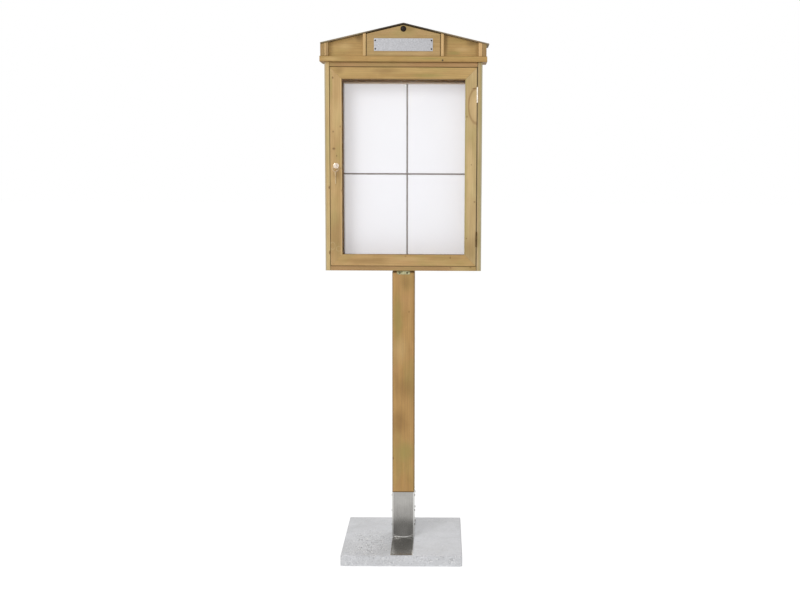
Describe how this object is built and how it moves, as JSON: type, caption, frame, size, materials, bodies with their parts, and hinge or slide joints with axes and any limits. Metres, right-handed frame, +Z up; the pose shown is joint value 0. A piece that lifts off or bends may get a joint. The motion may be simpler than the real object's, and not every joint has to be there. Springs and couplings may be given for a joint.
{
  "type": "information display stand",
  "caption": "Free-standing timber display case on a post and concrete slab, with a glazed hinged door, cam lock and key, gabled top and a white board with sheets.",
  "frame": {"origin": "centre of the concrete slab's underside, on the ground", "axes": "+Z up along the post, +X to the right seen from the front, -Y out of the front of the case towards the reader"},
  "size_m": [0.556, 0.4, 1.7748],
  "materials": {
    "concrete": "cast, pitted",
    "stainless_sheet": "brushed",
    "post_pine": "satin stain",
    "stained_pine": "satin stain",
    "plywood": "satin stain",
    "dark_roof_board": "dark stain",
    "brown_plastic": "moulded",
    "sign_metal": "satin",
    "white_board": "matt",
    "grey_strip": "satin",
    "white_paper": "matt",
    "clear_glass": "polished",
    "zinc_plated_steel": "zinc plated",
    "nickel_plate": "polished nickel"
  },
  "bodies": {
    "stand": {"concrete_base": "concrete", "front_shoe": "stainless_sheet", "rear_shoe": "stainless_sheet", "post": "post_pine", "post_top_plate": "zinc_plated_steel", "case_bolt_front": "zinc_plated_steel", "case_bolt_rear": "zinc_plated_steel", "case_left_side": "stained_pine", "case_right_side": "stained_pine", "case_bottom": "stained_pine", "case_top": "stained_pine", "case_back": "plywood", "ledge_board": "stained_pine", "pediment_left_side": "stained_pine", "pediment_right_side": "stained_pine", "left_end_post": "stained_pine", "right_end_post": "stained_pine", "left_pilaster": "stained_pine", "right_pilaster": "stained_pine", "recess_board": "stained_pine", "pediment_back": "stained_pine", "ridge_batten": "stained_pine", "centre_panel": "stained_pine", "roof_left": "dark_roof_board", "roof_right": "dark_roof_board", "peak_plug": "brown_plastic", "sign_plate": "sign_metal", "display_board": "white_board", "board_top_rail": "grey_strip", "horizontal_strip": "grey_strip", "lower_vertical_strip": "grey_strip", "upper_vertical_strip": "grey_strip", "sheet_lower_left": "white_paper", "sheet_lower_right": "white_paper", "sheet_upper_left": "white_paper", "sheet_upper_right": "white_paper", "hinge_lower_case_leaf": "zinc_plated_steel", "hinge_lower_pin": "zinc_plated_steel", "hinge_upper_case_leaf": "zinc_plated_steel", "hinge_upper_pin": "zinc_plated_steel", "lock_keeper": "zinc_plated_steel"},
    "door": {"door_left_stile": "stained_pine", "door_right_stile": "stained_pine", "door_top_rail": "stained_pine", "door_bottom_rail": "stained_pine", "door_glass": "clear_glass", "bead_left": "stained_pine", "bead_right": "stained_pine", "bead_bottom": "stained_pine", "bead_top": "stained_pine", "hinge_lower_door_leaf": "zinc_plated_steel", "hinge_upper_door_leaf": "zinc_plated_steel", "lock_housing": "nickel_plate", "lock_nut": "nickel_plate"},
    "lock": {"lock_plug": "nickel_plate", "lock_cam": "zinc_plated_steel", "cam_screw": "zinc_plated_steel"},
    "key": {"key": "nickel_plate"},
    "key_ring": {"key_ring": "nickel_plate"},
    "spare_key": {"spare_key": "nickel_plate"}
  },
  "joints": [
    {"name": "door_hinge", "type": "hinge", "parent": "stand", "child": "door", "pos_m": [0.2434, -0.0303, 1.3043], "axis": [0, 0, 1], "range_deg": [0, 110]},
    {"name": "lock_turn", "type": "hinge", "parent": "door", "child": "lock", "pos_m": [-0.2233, -0.0303, 1.3092], "axis": [0, 1, 0], "range_deg": [0, 90]},
    {"name": "key_slide", "type": "slide", "parent": "lock", "child": "key", "axis": [0, -1, 0], "range_m": [0, 0.024]},
    {"name": "ring_swing", "type": "hinge", "parent": "key", "child": "key_ring", "pos_m": [-0.2233, -0.0501, 1.3077], "axis": [-1, 0, 0], "range_deg": [-5, 80]},
    {"name": "spare_swing", "type": "hinge", "parent": "key_ring", "child": "spare_key", "pos_m": [-0.2233, -0.0501, 1.2897], "axis": [-1, 0, 0], "range_deg": [-10, 40]}
  ]
}
